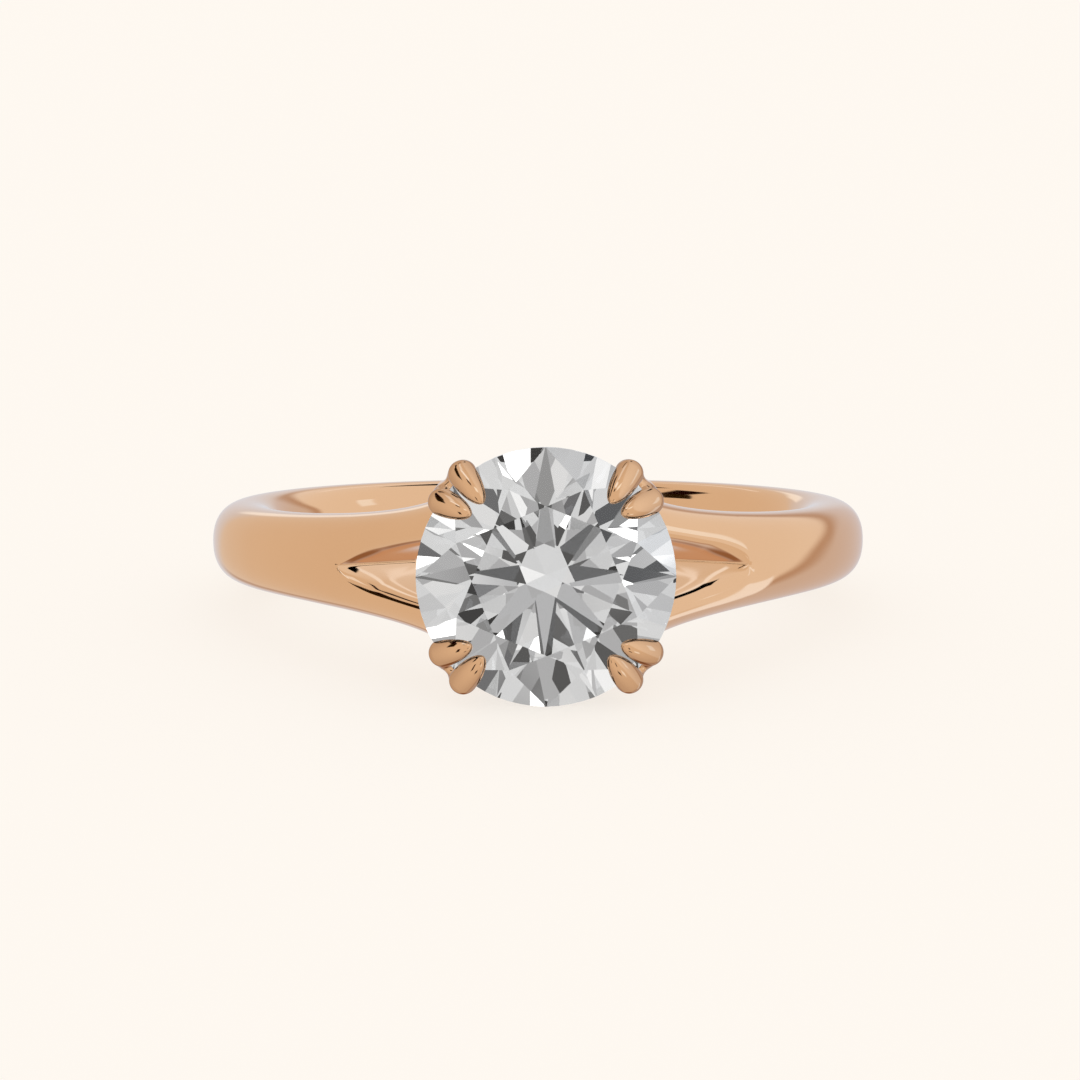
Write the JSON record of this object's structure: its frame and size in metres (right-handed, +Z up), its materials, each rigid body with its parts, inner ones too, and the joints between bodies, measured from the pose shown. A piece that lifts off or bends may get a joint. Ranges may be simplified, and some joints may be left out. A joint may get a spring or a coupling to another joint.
{
  "type": "split shank ring",
  "caption": "Ring with a band that splits at both shoulders into paired claws, which hold one round brilliant stone above a round base.",
  "frame": {"origin": "middle of the ring's footprint, on the surface that it lies on", "axes": "+Y from the stone towards the back of the band, +Z up from the surface, which is 6.6 degrees from the finger's axis because the ring leans on its stone"},
  "size_m": [0.0208, 0.0242, 0.0074],
  "materials": {
    "rose_gold": "polished",
    "diamond": "polished"
  },
  "bodies": {
    "root": {"gold_mounting": "rose_gold", "center_stone": "diamond"}
  },
  "joints": []
}
